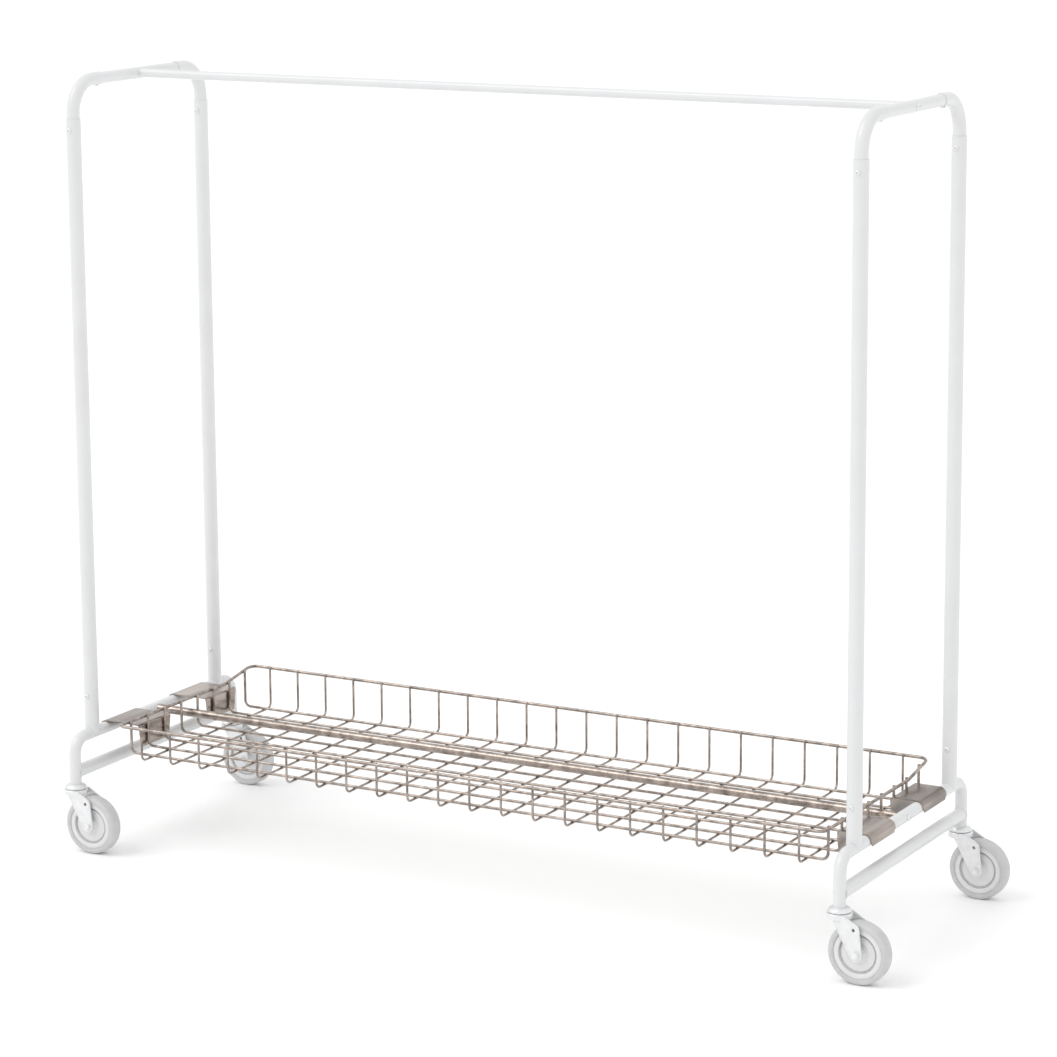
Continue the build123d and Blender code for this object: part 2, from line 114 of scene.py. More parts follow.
def add_tube(bm, points, radius, sides=16, closed=False, tip=0.25):
    """A round wire along the points, its cut ends slightly rounded."""
    frames = ring_frames(points, closed)
    stations = [(p, f, radius) for p, f in zip(points, frames)]
    if not closed:
        first, last = stations[0], stations[-1]
        for share, shrink in ((tip * 0.45, 0.93), (tip, 0.72)):
            stations.insert(0, (first[0] - first[1][0] * radius * share, first[1], radius * shrink))
            stations.append((last[0] + last[1][0] * radius * share, last[1], radius * shrink))
    rings = []
    for centre, (_, side, up), r in stations:
        turn = [2 * math.pi * k / sides for k in range(sides)]
        rings.append([bm.verts.new(centre + side * r * math.cos(a) + up * r * math.sin(a)) for a in turn])
    pairs = list(zip(rings, rings[1:])) + ([(rings[-1], rings[0])] if closed else [])
    for ring, after in pairs:
        for k in range(sides):
            bm.faces.new((ring[k], ring[(k + 1) % sides], after[(k + 1) % sides], after[k]))
    if not closed:
        bm.faces.new(rings[0][::-1])
        bm.faces.new(rings[-1])


def sides_of(axis):
    """Two directions square to an axis."""
    axis = Vector(axis).normalized()
    side = axis.orthogonal().normalized()
    return side, axis.cross(side)


def add_lathe(bm, profile, centre, axis, sides=64):
    """Turns (radius, height) points about an axis; radius 0 closes the end."""
    axis = Vector(axis).normalized()
    side, up = sides_of(axis)
    rings = []
    for radius, height in profile:
        base = Vector(centre) + axis * height
        if radius < 1e-7:
            rings.append([bm.verts.new(base)])
            continue
        turn = [2 * math.pi * k / sides for k in range(sides)]
        rings.append([bm.verts.new(base + (side * math.cos(a) + up * math.sin(a)) * radius) for a in turn])
    closed = profile[0] == profile[-1] and profile[0][0] > 0
    if closed:
        for vert in rings.pop():
            bm.verts.remove(vert)
    pairs = list(zip(rings, rings[1:])) + ([(rings[-1], rings[0])] if closed else [])
    for ring, after in pairs:
        for k in range(sides):
            quad = [ring[k % len(ring)], ring[(k + 1) % len(ring)]]
            quad += [after[(k + 1) % len(after)], after[k % len(after)]]
            quad = [v for i, v in enumerate(quad) if v not in quad[:i]]
            bm.faces.new(quad)


def arc(cx, cy, radius, start, end, steps=5):
    """Points (x, y) on an arc, its angles in degrees."""
    angles = [math.radians(start + (end - start) * k / steps) for k in range(steps + 1)]
    return [(cx + radius * math.cos(a), cy + radius * math.sin(a)) for a in angles]


def add_blob(bm, centre, size, seed):
    """A small weld nugget: a squashed ball with an uneven skin."""
    rng = random.Random(seed)
    made = bmesh.ops.create_icosphere(bm, subdivisions=2, radius=1.0)["verts"]
    for vert in made:
        vert.co *= 1 + rng.uniform(-0.05, 0.05)
        vert.co = Vector(centre) + Vector((vert.co.x * size[0], vert.co.y * size[1], vert.co.z * size[2]))


def add_bead(bm, points, radius, closed=True):
    """A weld bead along a seam: a tube whose thickness ripples like laid metal."""
    frames = ring_frames(points, closed)
    sides, rings = 8, []
    for i, (centre, (_, side, up)) in enumerate(zip(points, frames)):
        r = radius * (1 + 0.16 * math.sin(i * 2.1))
        turn = [2 * math.pi * k / sides for k in range(sides)]
        rings.append([bm.verts.new(centre + side * r * math.cos(a) + up * r * math.sin(a)) for a in turn])
    for ring, after in list(zip(rings, rings[1:])) + ([(rings[-1], rings[0])] if closed else []):
        for k in range(sides):
            bm.faces.new((ring[k], ring[(k + 1) % sides], after[(k + 1) % sides], after[k]))


# ---------------------------------------------------------------- materials
def material(name, base, metallic, roughness, vary=0.0, vary_scale=30.0, rough_vary=0.05,
             bump=0.0, bump_scale=400.0, coat=0.0, dark=None, stretch=(1, 1, 1)):
    """A procedural material: broad colour variation (random tone, and on the plated wire and hook sheet
    painted highlights and painted shade), fine roughness noise and a small bump.
    """
    mat = bpy.data.materials.new(name)
    mat.use_nodes = True
    nodes, links = mat.node_tree.nodes, mat.node_tree.links
    shader = nodes["Principled BSDF"]
    shader.inputs["Metallic"].default_value = metallic
    shader.inputs["Coat Weight"].default_value = coat
    shader.inputs["Coat Roughness"].default_value = 0.12
    where = nodes.new("ShaderNodeTexCoord")
    mapping = nodes.new("ShaderNodeMapping")
    mapping.inputs["Scale"].default_value = stretch
    links.new(where.outputs["Object"], mapping.inputs["Vector"])
    broad = nodes.new("ShaderNodeTexNoise")
    broad.inputs["Scale"].default_value = vary_scale
    broad.inputs["Detail"].default_value = 6
    links.new(mapping.outputs["Vector"], broad.inputs["Vector"])
    ramp = nodes.new("ShaderNodeValToRGB")
    low = dark or [c * (1 - vary) for c in base]
    high = [min(1, c * (1 + vary)) for c in base]
    ramp.color_ramp.elements[0].position, ramp.color_ramp.elements[1].position = 0.32, 0.68
    ramp.color_ramp.elements[0].color = (*low, 1)
    ramp.color_ramp.elements[1].color = (*high, 1)
    links.new(broad.outputs["Fac"], ramp.inputs["Fac"])
    links.new(ramp.outputs["Color"], shader.inputs["Base Color"])
    fine = nodes.new("ShaderNodeTexNoise")
    fine.inputs["Scale"].default_value = bump_scale
    fine.inputs["Detail"].default_value = 4
    links.new(mapping.outputs["Vector"], fine.inputs["Vector"])
    spread = nodes.new("ShaderNodeMapRange")
    spread.inputs["To Min"].default_value = max(0.02, roughness - rough_vary)
    spread.inputs["To Max"].default_value = min(1, roughness + rough_vary)
    links.new(fine.outputs["Fac"], spread.inputs["Value"])
    links.new(spread.outputs["Result"], shader.inputs["Roughness"])
    if bump:
        relief = nodes.new("ShaderNodeBump")
        relief.inputs["Strength"].default_value = bump
        relief.inputs["Distance"].default_value = 0.0004
        links.new(fine.outputs["Fac"], relief.inputs["Height"])
        links.new(relief.outputs["Normal"], shader.inputs["Normal"])
    return mat


paint = material("pale_powder_coat", (0.70, 0.705, 0.71), 0.0, 0.32, vary=0.02, vary_scale=9,
                 bump=0.10, bump_scale=900, coat=0.3)
# Basket wire: a warm plating tone darkened to paint in dark reflections; its broad colour variation is
# painted highlights and painted shade.
wire_plate = material("nickel_wire_painted_reflections", (0.345, 0.295, 0.262), 0.95, 0.25, vary=0.38, vary_scale=60,
                      rough_vary=0.08, bump=0.12, bump_scale=700)
# Hook sheet: a warm plating tone darkened as painted dark reflection; its broad variation, stretched into
# stripes along the plate, is painted highlights and painted shade.
hook_plate = material("nickel_sheet_painted_highlights", (0.335, 0.29, 0.26), 0.95, 0.24, vary=0.42, vary_scale=26,
                      rough_vary=0.10, bump=0.10, bump_scale=500, stretch=(1, 0.15, 1))
zinc = material("pale_zinc", (0.78, 0.785, 0.79), 0.55, 0.36, vary=0.05, vary_scale=70,
                rough_vary=0.08, bump=0.10, bump_scale=900)
weld_steel = material("weld_nuggets", (0.17, 0.145, 0.13), 0.85, 0.38, vary=0.30, vary_scale=90,
                      rough_vary=0.10, bump=0.15, bump_scale=800)
screw_steel = material("screw_steel", (0.80, 0.80, 0.805), 0.45, 0.36, vary=0.06, vary_scale=200,
                       bump=0.08, bump_scale=1500)
polished = material("polished_balls", (0.62, 0.62, 0.63), 1.0, 0.12, vary=0.04, vary_scale=300)
rubber = material("grey_rubber", (0.55, 0.55, 0.555), 0.0, 0.60, vary=0.05, vary_scale=45,
                  bump=0.28, bump_scale=1400)
core_plastic = material("grey_core_plastic", (0.71, 0.71, 0.715), 0.0, 0.42, vary=0.03, vary_scale=35,
                        bump=0.12, bump_scale=1100)
socket_plastic = material("dark_socket_plastic", (0.20, 0.20, 0.205), 0.0, 0.5, vary=0.08, vary_scale=90,
                          bump=0.15, bump_scale=1000)

# Each node takes the first finish whose start fits its name; the bottom bar is plated like the basket.
NODE_FINISH = {
    "base_frame": paint, "lower_crossbar": paint, "top_crossbar": paint, "upright_left": paint,
    "upright_right": paint, "elbow_left": paint, "elbow_right": paint, "hanging_bar": paint,
    "bottom_bar": wire_plate, "upright_spigots": zinc, "bar_end_plugs": zinc,
    "upright_base_screws": screw_steel, "elbow_screws": screw_steel,
    "top_crossbar_screws": screw_steel, "bar_bolts": screw_steel,
    "stem_sockets": socket_plastic, "caster_balls": polished, "basket_hook": hook_plate, "basket": wire_plate,
    "caster_axle": screw_steel, "caster_stem": zinc, "caster_fork": zinc, "caster_bush": zinc,
    "wheel_core": core_plastic, "wheel_tyre": rubber,
}
for node_name, node in frame["nodes"].items():
    finish = next(mat for start, mat in NODE_FINISH.items() if node_name.startswith(start))
    node.data.materials.clear()
    node.data.materials.append(finish)


# ---------------------------------------------------------------- wire basket
RIM_LOW, RIM_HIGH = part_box("basket_rim")
RIB_LOW, RIB_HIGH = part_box("basket_ribs")
LONG_LOW, LONG_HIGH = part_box("basket_long_wires")
RIM_R, RIB_R, LONG_R = 3.5 * MM, 2.5 * MM, 3.0 * MM
PROUD = 2.0 * MM
HALF_X, HALF_Y = (RIM_HIGH.x - RIM_LOW.x) / 2 - RIM_R, (RIM_HIGH.y - RIM_LOW.y) / 2 - RIM_R
FRONT_Z, REAR_Z = RIM_LOW.z + RIM_R, RIM_HIGH.z - RIM_R
BASKET_X = (RIM_LOW.x + RIM_HIGH.x) / 2
END_Z, RISE = FRONT_Z, 105 * MM
RIB_Z, LONG_Z = RIB_LOW.z + RIB_R, LONG_LOW.z + LONG_R
RIB_Y = RIB_HIGH.y - RIB_R
LONG_X = (LONG_HIGH.x - LONG_LOW.x) / 2 - LONG_R
RIB_COUNT = 22
RIB_SPAN = (RIB_HIGH.x - RIB_LOW.x) / 2 - RIB_R
LONG_COUNT, LONG_SPAN = 8, LONG_HIGH.y - LONG_R
LONG_Y = [-LONG_SPAN + 2 * LONG_SPAN * index / (LONG_COUNT - 1) for index in range(LONG_COUNT)]
FLOOR_BEND = 14 * MM
CROSSING_WELD = (2.9 * MM, 2.9 * MM, 1.6 * MM)
SIDE_WELD = (2.8 * MM, 1.6 * MM, 3.2 * MM)
END_WELD = (1.6 * MM, 3.0 * MM, 3.3 * MM)


def at(x, y, z):
    """A point measured from the middle of the basket."""
    return Vector((BASKET_X + x, y, z))


def rim_height(y):
    """Height of the end rim's centre line at one Y."""
    foot = HALF_Y - RISE
    if y > foot:
        return END_Z + (REAR_Z - END_Z) * (y - foot) / RISE
    return FRONT_Z + (END_Z - FRONT_Z) * (y + HALF_Y) / (HALF_Y + foot)


def basket_rim():
    """The closed rim, rising near the back corners."""
    foot = HALF_Y - RISE
    right = [at(HALF_X, -HALF_Y, FRONT_Z), at(HALF_X, foot, END_Z), at(HALF_X, HALF_Y, REAR_Z)]
    left = [at(-HALF_X, p.y, p.z) for p in reversed(right)]
    start = at(0, -HALF_Y, FRONT_Z)
    bends = [16 * MM, 30 * MM, 20 * MM]
    points = rounded([start] + right + left + [start], bends + bends[::-1])[:-1]
    bm = bmesh.new()
    add_tube(bm, points, RIM_R, sides=20, closed=True)
    piece("basket_rim_wire", bm, wire_plate, "basket", ["basket_rim"])


def basket_ribs():
    """The U-shaped cross ribs."""
    bm = bmesh.new()
    for index in range(RIB_COUNT):
        x = -RIB_SPAN + 2 * RIB_SPAN * index / (RIB_COUNT - 1)
        floor = [at(x, -RIB_Y, RIB_Z), at(x, RIB_Y, RIB_Z)]
        route = [at(x, -RIB_Y, FRONT_Z + PROUD), *floor, at(x, RIB_Y, REAR_Z + PROUD)]
        add_tube(bm, rounded(route, [FLOOR_BEND] * 2), RIB_R)
    piece("basket_rib_wires", bm, wire_plate, "basket", ["basket_ribs"])


def basket_long_wires():
    """The floor wires along the basket, turned up at both ends."""
    bm = bmesh.new()
    for y in LONG_Y:
        top = rim_height(y) + PROUD
        route = [at(-LONG_X, y, top), at(-LONG_X, y, LONG_Z), at(LONG_X, y, LONG_Z), at(LONG_X, y, top)]
        add_tube(bm, rounded(route, [FLOOR_BEND] * 2), LONG_R)
    piece("basket_floor_wires", bm, wire_plate, "basket", ["basket_long_wires"])


def basket_welds():
    """Resistance-weld nuggets where wires cross and where they meet the rim."""
    bm = bmesh.new()
    seed = 0
    rib_xs = [-RIB_SPAN + 2 * RIB_SPAN * index / (RIB_COUNT - 1) for index in range(RIB_COUNT)]
    crossing_z = (RIB_Z + LONG_Z) / 2
    for x in rib_xs:
        for y in LONG_Y:
            add_blob(bm, at(x, y, crossing_z), CROSSING_WELD, seed)
            seed += 1
        for y, z in ((-RIB_Y - RIB_R, FRONT_Z), (RIB_Y + RIB_R, REAR_Z)):
            add_blob(bm, at(x, y, z), SIDE_WELD, seed)
            seed += 1
    for side in (-1, 1):
        for y in LONG_Y:
            add_blob(bm, at(side * (LONG_X + LONG_R), y, rim_height(y)), END_WELD, seed)
            seed += 1
    piece("basket_weld_nuggets", bm, weld_steel, "basket")


basket_rim()
basket_ribs()
basket_long_wires()
basket_welds()


# ---------------------------------------------------------------- hook plates
def hook_plates():
    """Bent sheet hooks over the upper crossbars, with rolled lips and rounded corners."""
    sheet, bend, lip_end_z = 2 * MM, 5 * MM, 240 * MM
    corner, columns = 7 * MM, 20
    for side_name, side in (("left", -1), ("right", 1)):
        for place in ("front", "rear"):
            node_name = f"basket_hook_{side_name}_{place}"
            low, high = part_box(node_name)
            y_mid, half_w = (low.y + high.y) / 2, (high.y - low.y) / 2
            leg_x = (low.x if side > 0 else high.x) + side * sheet / 2
            lip_x = (high.x if side > 0 else low.x) - side * sheet / 2
            end_x = RIGHT_X if side > 0 else LEFT_X
            shelf_z, roll = high.z - sheet / 2, abs(lip_x - end_x)
            route = [Vector((leg_x, 0, low.z)), Vector((leg_x, 0, shelf_z)), Vector((lip_x, 0, shelf_z)),
                     Vector((lip_x, 0, lip_end_z))]
            line = rounded(route, [bend, roll], steps=10)
            bm = bmesh.new()
            rows = []
            travelled = [0.0]
            for before, after in zip(line, line[1:]):
                travelled.append(travelled[-1] + (after - before).length)
            for point, along in zip(line, travelled):
                to_end = min(along, travelled[-1] - along)
                pull = corner - math.sqrt(max(0, corner ** 2 - (corner - min(corner, to_end)) ** 2))
                width = half_w - pull
                rows.append([bm.verts.new((point.x, y_mid - width + 2 * width * k / columns, point.z))
                             for k in range(columns + 1)])
            for row, after in zip(rows, rows[1:]):
                for k in range(columns):
                    bm.faces.new((row[k], row[k + 1], after[k + 1], after[k]))
            obj = piece(f"{node_name}_plate", bm, hook_plate, "basket", [node_name], sharp=40)
            thicken(obj, sheet)


def thicken(obj, sheet):
    """Gives a surface its sheet thickness and a rounded edge."""
    solid = obj.modifiers.new("sheet", "SOLIDIFY")
    solid.thickness, solid.offset = sheet, 0.0
    edge = obj.modifiers.new("edge", "BEVEL")
    edge.width, edge.segments, edge.limit_method, edge.angle_limit = sheet * 0.3, 2, "ANGLE", math.radians(50)
    apply_modifiers(obj)
    obj.data.set_sharp_from_angle(angle=math.radians(40))


def apply_modifiers(obj):
    """Bakes the modifiers into the mesh, so the piece is plain geometry."""
    bpy.context.view_layer.update()
    graph = bpy.context.evaluated_depsgraph_get()
    mesh = bpy.data.meshes.new_from_object(obj.evaluated_get(graph))
    obj.modifiers.clear()
    obj.data = mesh


hook_plates()


# ---------------------------------------------------------------- casters
# Sections of the turned caster parts are in millimetres, as (radius, height) points.
FORK_GAP_HALF = 19.5
FORK_SHEET, FORK_BORDER = 3.0, 1.0
FORK_HOLE_X, FORK_HOLE_Z, FORK_HOLE_R = -5 * MM, 50 * MM, 3.5 * MM
BOLT_SEAT = 22.5 * MM
BOLT_FLATS, BOLT_HEAD, BOLT_NUT = 13 * MM, 5.3 * MM, 6.5 * MM
BOLT_R, THREAD_ROOT_R, THREAD_TIP_R = 4.0 * MM, 3.5 * MM, 3.4 * MM
THREAD_PITCH, THREAD_TURNS, THREAD_LENGTH = 1.25 * MM, 7, 9.0 * MM


def tyre_profile():
    """(radius, height) of the tyre: rounded shoulders, a bead line and a slightly crowned tread."""
    half = [(50.9, 0), (50.9, 15.0), (51.6, 15.9), (52.6, 16.0), (53.4, 15.5), (54.2, 16.0), (56.0, 16.0)]
    half += arc(56.6, 9.2, 6.8, 84, 8)
    half += [(63.45, 5.0), (63.5, 0)]
    outline = half + [(r, -h) for r, h in reversed(half[1:-1])]
    return [(r * MM, h * MM) for r, h in outline + outline[:1]]


def core_profile():
    """(radius, height) of the wheel core: band, groove, recessed disc and hub, with softened edges."""
    half = [(6.06, 0), (6.06, 17.6), (6.5, 18.0), (11.9, 18.0), (12.8, 17.4), (13.4, 11.2), (14.6, 10.1)]
    half += [(22.0, 10.0), (23.0, 10.5), (24.5, 10.5), (25.5, 10.0), (34.4, 10.0), (35.6, 9.6), (36.7, 5.4)]
    half += [(37.4, 5.0), (39.4, 5.0), (40.0, 5.4), (40.6, 13.0), (41.6, 13.9), (43.0, 14.0), (49.6, 14.0)]
    half += [(50.7, 13.6), (50.85, 0)]
    outline = half + [(r, -h) for r, h in reversed(half[1:-1])]
    return [(r * MM, h * MM) for r, h in outline + outline[:1]]


def wheels():
    """Tyre and core of each wheel."""
    for name in CASTERS:
        bm = bmesh.new()
        add_lathe(bm, tyre_profile(), AXLE[name], (0, 1, 0), sides=112)
        piece(f"tyre_{name}", bm, rubber, f"wheel_{name}", [f"wheel_tyre_{name}"], sharp=30)
        bm = bmesh.new()
        add_lathe(bm, core_profile(), AXLE[name], (0, 1, 0), sides=96)
        piece(f"core_{name}", bm, core_plastic, f"wheel_{name}",
              [f"wheel_core_{name}"], sharp=38)


def hull(points):
    """Convex outline of 2-D points, counter-clockwise."""
    points = sorted(set(points))

    def chain(source):
        line = []
        for p in source:
            while len(line) > 1 and cross(line[-2], line[-1], p) <= 0:
                line.pop()
            line.append(p)
        return line[:-1]

    return chain(points) + chain(points[::-1])


def cross(o, a, b):
    """Twice the signed area of the triangle o, a, b."""
    return (a[0] - o[0]) * (b[1] - o[1]) - (a[1] - o[1]) * (b[0] - o[0])


def left_normal(start, end):
    """The direction to the left of a 2-D edge."""
    return Vector((start.y - end.y, end.x - start.x)).normalized()


def inset(outline, distance):
    """Moves a convex counter-clockwise outline inwards."""
    count, moved = len(outline), []
    for i in range(count):
        before, here, after = Vector(outline[i - 1]), Vector(outline[i]), Vector(outline[(i + 1) % count])
        mean = (left_normal(before, here) + left_normal(here, after)).normalized()
        moved.append(tuple(here + mean * distance))
    return moved


def fork_outline():
    """Outline of a fork leg about the axle: crown line, the swell round its hole, and the axle eye."""
    points = [(-56.0, 76.0), (-25.5, 76.0)]
    points += arc(-5.0, 50.0, 12.5, -60, 120, 18)
    points += arc(0.0, 0.0, 13.0, -200, 30, 26)
    return hull([(round(x, 4), round(z, 4)) for x, z in points])


def add_fork_leg(bm, centre, inner, outward):
    """A pressed fork leg with a raised border."""
    outline, top = fork_outline(), FORK_SHEET + FORK_BORDER
    levels = [(0.4, 0.0), (0.0, 0.4), (0.0, top - 0.9), (0.3, top - 0.3), (1.0, top), (2.2, top),
              (2.9, top - 0.3), (3.5, FORK_SHEET)]
    loops = []
    for distance, depth in levels:
        ring = inset(outline, distance) if distance else outline
        y = centre.y + outward * (inner + depth) * MM
        loops.append([bm.verts.new((centre.x + x * MM, y, centre.z + z * MM)) for x, z in ring])
    count = len(outline)
    for ring, after in zip(loops, loops[1:]):
        for k in range(count):
            bm.faces.new((ring[k], ring[(k + 1) % count], after[(k + 1) % count], after[k]))
    bm.faces.new(loops[0])
    bm.faces.new(loops[-1])


def forks():
    """Pressed forks with a dished crown and the drilled legs."""
    for name in CASTERS:
        axle, leg = AXLE[name], LEG[name]
        bm = bmesh.new()
        for outward in (-1, 1):
            add_fork_leg(bm, axle, FORK_GAP_HALF, outward)
        fork = piece(f"fork_{name}", bm, zinc, f"caster_{name}", [f"caster_fork_{name}"])
        drill(fork, axle + Vector((FORK_HOLE_X, 0, FORK_HOLE_Z)), FORK_HOLE_R)
        bm = bmesh.new()
        crown = [(5.1, 137), (5.1, 140), (12, 140), (14.5, 139.1), (19.5, 139.1), (21.5, 140)]
        crown += arc(23.0, 136.8, 3.1, 85, 5) + [(26.2, 129.2), (25.8, 128.5), (25.0, 128.8)]
        crown += [(24.6, 135.4), (23.6, 136.8), (22.6, 137)]
        crown = [(r * MM, z * MM) for r, z in crown]
        add_lathe(bm, crown + crown[:1], (leg.x, leg.y, 0), (0, 0, 1), sides=72)
        piece(f"fork_crown_{name}", bm, zinc, f"caster_{name}", sharp=30)


def drill(obj, centre, radius, reach=40 * MM):
    """Cuts a round hole along Y through a piece."""
    bm = bmesh.new()
    plug = [(0, -reach), (radius, -reach), (radius, reach), (0, reach)]
    add_lathe(bm, plug, centre, (0, 1, 0), sides=40)
    bmesh.ops.recalc_face_normals(bm, faces=bm.faces)
    mesh = bpy.data.meshes.new("cutter")
    bm.to_mesh(mesh)
    bm.free()
    cutter = bpy.data.objects.new("cutter", mesh)
    bpy.context.scene.collection.objects.link(cutter)
    cut = obj.modifiers.new("cut", "BOOLEAN")
    cut.operation, cut.solver, cut.object = "DIFFERENCE", "EXACT", cutter
    apply_modifiers(obj)
    bpy.data.objects.remove(cutter)
    obj.data.set_sharp_from_angle(angle=math.radians(34))


def hex_loops(across, height, chamfer=0.16):
    """Rings of a hexagon with its corners turned off at the top: (angle, radius, height)."""
    flats, count = across / 2, 48
    angles = [2 * math.pi * k / count for k in range(count)]
    hexagon = [flats / math.cos((a % (math.pi / 3)) - math.pi / 6) for a in angles]
    levels = [(0.0, 1e9), (height * (1 - chamfer), 1e9)]
    levels += [(height * (1 - chamfer * 0.5), flats * 1.09), (height, flats * 0.97)]
    return [[(a, min(r, limit), h) for a, r in zip(angles, hexagon)] for h, limit in levels]


def add_hexagon(bm, seat, axis, across, height):
    """A bolt head or nut with chamfered corners."""
    axis = Vector(axis)
    side, up = sides_of(axis)
    rings = []
    for loop in hex_loops(across, height):
        rings.append([bm.verts.new(Vector(seat) + axis * h + (side * math.cos(a) + up * math.sin(a)) * r)
                      for a, r, h in loop])
    for ring, after in zip(rings, rings[1:]):
        for k in range(len(ring)):
            bm.faces.new((ring[k], ring[(k + 1) % len(ring)], after[(k + 1) % len(ring)], after[k]))
    bm.faces.new(rings[0][::-1])
    bm.faces.new(rings[-1])


def thread_profile():
    """(radius, height) of the bolt's thread end, from the fork's face outwards."""
    profile = [(0, 0), (BOLT_R, 0)]
    for k in range(THREAD_TURNS):
        start = THREAD_PITCH * k
        profile += [(BOLT_R, start + 0.1 * MM), (THREAD_ROOT_R, start + THREAD_PITCH / 2),
                    (BOLT_R, start + THREAD_PITCH)]
    end = THREAD_PITCH * THREAD_TURNS + 0.5 * MM
    profile += [(THREAD_TIP_R, end), (0, end)]
    return [(r, h * THREAD_LENGTH / end) for r, h in profile]


def axles():
    """Axle bolts: chamfered hexagon head outside, nut and thread end inside."""
    for name in CASTERS:
        axle = AXLE[name]
        out = 1 if axle.y > 0 else -1
        bm = bmesh.new()
        outer = axle + Vector((0, out * BOLT_SEAT, 0))
        inner = axle - Vector((0, out * BOLT_SEAT, 0))
        add_hexagon(bm, outer, (0, out, 0), BOLT_FLATS, BOLT_HEAD)
        add_hexagon(bm, inner, (0, -out, 0), BOLT_FLATS, BOLT_NUT)
        add_lathe(bm, thread_profile(), inner, (0, -out, 0), sides=32)
        shank = [(0, 0), (BOLT_R, 0), (BOLT_R, 2 * BOLT_SEAT), (0, 2 * BOLT_SEAT)]
        add_lathe(bm, shank, inner, (0, out, 0), sides=40)
        piece(f"axle_bolt_{name}", bm, screw_steel, f"caster_{name}", [f"caster_axle_{name}"])


def in_cross(x, y):
    """Whether a point of a head of radius 1 lies in its cross recess."""
    near, far = sorted((abs(x), abs(y)))
    return far < 0.56 and near < 0.15


def in_socket(x, y):
    """Whether a point of a head of radius 1 lies in its hexagon socket."""
    turn = math.atan2(y, x) % (math.pi / 3) - math.pi / 6
    return math.hypot(x, y) * math.cos(turn) < 0.42


def add_head(bm, seat, axis, radius, height, recess):
    """A domed screw head, pushed down where its driver recess is."""
    side, up = sides_of(axis)
    count, depth = 96, height * 0.4
    rings = [[(1.0, 0.0)] * count, [(1.0, height * 0.3)] * count]
    for share in (0.985, 0.95, 0.9, 0.82, 0.74, 0.66, 0.59, 0.55, 0.5, 0.44, 0.40, 0.34, 0.26, 0.18, 0.1):
        dome = height * (0.3 + 0.7 * math.sqrt(1 - share ** 2))
        turns = [2 * math.pi * k / count for k in range(count)]
        sunk = [recess(share * math.cos(a), share * math.sin(a)) for a in turns]
        rings.append([(share, dome - depth * pushed) for pushed in sunk])
    made = []
    for ring in rings:
        row = []
        for k, (share, h) in enumerate(ring):
            a = 2 * math.pi * k / count
            spot = (side * math.cos(a) + up * math.sin(a)) * radius * share
            row.append(bm.verts.new(Vector(seat) + Vector(axis) * h + spot))
        made.append(row)
    for ring, after in zip(made, made[1:]):
        for k in range(count):
            bm.faces.new((ring[k], ring[(k + 1) % count], after[(k + 1) % count], after[k]))
    bm.faces.new(made[0][::-1])
    bm.faces.new(made[-1])


# Screw sizes: head diameter and height, shank diameter and, where there is one, nut height.
PAN_HEAD, PAN_SHANK, PAN_NUT = (10 * MM, 3.6 * MM), 5 * MM, 4.5 * MM
BUTTON_HEAD, BUTTON_SHANK = (13 * MM, 4 * MM), 6 * MM
CROSSBAR_SCREW_LENGTH, BAR_BOLT_LENGTH, PAST_TUBE = 9 * MM, 42.4 * MM, 5.5 * MM
SHORTEST_BOLT, SHANK_CHAMFER, THREAD_SHOWN = 12 * MM, 0.6 * MM, 1 * MM


def screw_group(name, screws, stands_for):
    """Domed screws with driver recesses: each is (seat, outward, head, shank, length, nut height)."""
    bm = bmesh.new()
    for seat, outward, (head, height), shank, length, nut in screws:
        recess = in_cross if nut or length < SHORTEST_BOLT else in_socket
        add_head(bm, seat, outward, head / 2, height, recess)
        inward = -Vector(outward)
        add_lathe(bm, [(0, 0), (shank / 2, 0), (shank / 2, length - SHANK_CHAMFER),
                       (shank / 2 - SHANK_CHAMFER, length), (0, length)], seat, inward, sides=28)
        if nut:
            back = Vector(seat) + inward * (length - nut - THREAD_SHOWN)
            add_hexagon(bm, back, inward, head, nut)
    piece(name, bm, screw_steel, "frame", stands_for)


def screws():
    """All screws and bolts of the tube frame."""
    for group in ("upright_base_screws", "elbow_screws"):
        low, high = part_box(group)
        found = []
        for place in CASTERS:
            lo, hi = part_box("upright_" + place)
            x, y, half = (lo.x + hi.x) / 2, (lo.y + hi.y) / 2, (hi.y - lo.y) / 2
            seat = Vector((x, y - half, (low.z + high.z) / 2))
            found.append((seat, (0, -1, 0), PAN_HEAD, PAN_SHANK, 2 * half + PAST_TUBE, PAN_NUT))
        screw_group(f"{group}_driven", found, [group])
    low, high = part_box("top_crossbar_screws")
    found = []
    for x in (LEFT_X, RIGHT_X):
        for y in (low.y + PAN_HEAD[0] / 2, high.y - PAN_HEAD[0] / 2):
            seat = Vector((x, y, low.z + PAN_HEAD[1]))
            found.append((seat, (0, 0, -1), PAN_HEAD, PAN_SHANK, CROSSBAR_SCREW_LENGTH, 0))
    screw_group("top_crossbar_screws_driven", found, ["top_crossbar_screws"])
    low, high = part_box("bar_bolts")
    found = []
    head_r, head_height = BUTTON_HEAD[0] / 2, BUTTON_HEAD[1]
    for z in (low.z + head_r, high.z - head_r):
        for x, outward in ((low.x + head_height, -1), (high.x - head_height, 1)):
            seat = Vector((x, 0, z))
            found.append((seat, (outward, 0, 0), BUTTON_HEAD, BUTTON_SHANK, BAR_BOLT_LENGTH, 0))
    screw_group("bar_bolts_driven", found, ["bar_bolts"])


